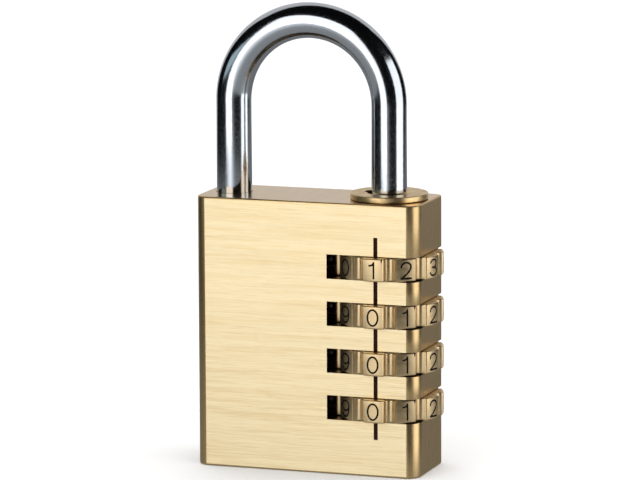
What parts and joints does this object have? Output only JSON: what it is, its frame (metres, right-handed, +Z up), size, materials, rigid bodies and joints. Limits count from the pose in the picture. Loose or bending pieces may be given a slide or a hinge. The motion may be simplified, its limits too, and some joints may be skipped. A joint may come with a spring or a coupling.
{
  "type": "combination padlock",
  "caption": "Brass-bodied padlock with a lifting round-bar steel shackle and stacked number dials turning on the long shackle leg, opened by code.",
  "frame": {"origin": "centre of the body's flat base face", "axes": "+Z up along the shackle's legs, -Y the numbered front face, +X towards the dials and the long leg"},
  "size_m": [0.0418, 0.0184, 0.0799],
  "materials": {
    "brushed_brass": "brushed, fine streaks across the front",
    "dial_brass": "satin, turned, with black-filled digits",
    "collar_brass": "satin, turned",
    "chrome_steel": "polished",
    "inner_brass": "as machined",
    "spring_steel": "drawn wire and ground pins"
  },
  "bodies": {
    "case": {"lock_body": "brushed_brass", "shackle_collar": "collar_brass", "base_plug": "brushed_brass", "sleeve_return_spring": "spring_steel", "detent_spring_1": "spring_steel", "detent_spring_2": "spring_steel", "detent_spring_3": "spring_steel", "detent_spring_4": "spring_steel"},
    "shackle": {"shackle": "chrome_steel"},
    "dial_1": {"dial_1": "dial_brass"},
    "dial_2": {"dial_2": "dial_brass"},
    "dial_3": {"dial_3": "dial_brass"},
    "dial_4": {"dial_4": "dial_brass"},
    "sleeve_carrier": {"thrust_washer": "spring_steel"},
    "sleeve_1": {"sleeve_1": "inner_brass"},
    "sleeve_2": {"sleeve_2": "inner_brass"},
    "sleeve_3": {"sleeve_3": "inner_brass"},
    "sleeve_4": {"sleeve_4": "inner_brass"},
    "detent_1": {"detent_plunger_1": "spring_steel"},
    "detent_2": {"detent_plunger_2": "spring_steel"},
    "detent_3": {"detent_plunger_3": "spring_steel"},
    "detent_4": {"detent_plunger_4": "spring_steel"}
  },
  "joints": [
    {"name": "shackle_lift", "type": "slide", "parent": "case", "child": "shackle", "axis": [0, 0, 1], "range_m": [0, 0.0081]},
    {"name": "dial_1_spin", "type": "hinge", "parent": "case", "child": "dial_1", "pos_m": [0.01265, 0, 0.03585], "axis": [0, 0, 1], "continuous": true},
    {"name": "dial_2_spin", "type": "hinge", "parent": "case", "child": "dial_2", "pos_m": [0.01265, 0, 0.02775], "axis": [0, 0, 1], "continuous": true},
    {"name": "dial_3_spin", "type": "hinge", "parent": "case", "child": "dial_3", "pos_m": [0.01265, 0, 0.01965], "axis": [0, 0, 1], "continuous": true},
    {"name": "dial_4_spin", "type": "hinge", "parent": "case", "child": "dial_4", "pos_m": [0.01265, 0, 0.01155], "axis": [0, 0, 1], "continuous": true},
    {"name": "sleeve_reset", "type": "slide", "parent": "case", "child": "sleeve_carrier", "axis": [0, 0, -1], "range_m": [0, 0.0012], "stiffness_N_per_m": 500, "springref_m": -0.003, "deforming": ["sleeve_return_spring"]},
    {"name": "sleeve_1_spin", "type": "hinge", "parent": "sleeve_carrier", "child": "sleeve_1", "pos_m": [0.01265, 0, 0.03585], "axis": [0, 0, 1], "continuous": true},
    {"name": "sleeve_2_spin", "type": "hinge", "parent": "sleeve_carrier", "child": "sleeve_2", "pos_m": [0.01265, 0, 0.02775], "axis": [0, 0, 1], "continuous": true},
    {"name": "sleeve_3_spin", "type": "hinge", "parent": "sleeve_carrier", "child": "sleeve_3", "pos_m": [0.01265, 0, 0.01965], "axis": [0, 0, 1], "continuous": true},
    {"name": "sleeve_4_spin", "type": "hinge", "parent": "sleeve_carrier", "child": "sleeve_4", "pos_m": [0.01265, 0, 0.01155], "axis": [0, 0, 1], "continuous": true},
    {"name": "detent_1_click", "type": "slide", "parent": "case", "child": "detent_1", "axis": [-1, 0, 0], "range_m": [0, 0.0006], "stiffness_N_per_m": 300, "springref_m": -0.002, "deforming": ["detent_spring_1"]},
    {"name": "detent_2_click", "type": "slide", "parent": "case", "child": "detent_2", "axis": [-1, 0, 0], "range_m": [0, 0.0006], "stiffness_N_per_m": 300, "springref_m": -0.002, "deforming": ["detent_spring_2"]},
    {"name": "detent_3_click", "type": "slide", "parent": "case", "child": "detent_3", "axis": [-1, 0, 0], "range_m": [0, 0.0006], "stiffness_N_per_m": 300, "springref_m": -0.002, "deforming": ["detent_spring_3"]},
    {"name": "detent_4_click", "type": "slide", "parent": "case", "child": "detent_4", "axis": [-1, 0, 0], "range_m": [0, 0.0006], "stiffness_N_per_m": 300, "springref_m": -0.002, "deforming": ["detent_spring_4"]}
  ],
  "couplings": [
    {"joint": "sleeve_1_spin", "follows": "dial_1_spin", "ratio": 1},
    {"joint": "sleeve_2_spin", "follows": "dial_2_spin", "ratio": 1},
    {"joint": "sleeve_3_spin", "follows": "dial_3_spin", "ratio": 1},
    {"joint": "sleeve_4_spin", "follows": "dial_4_spin", "ratio": 1}
  ]
}
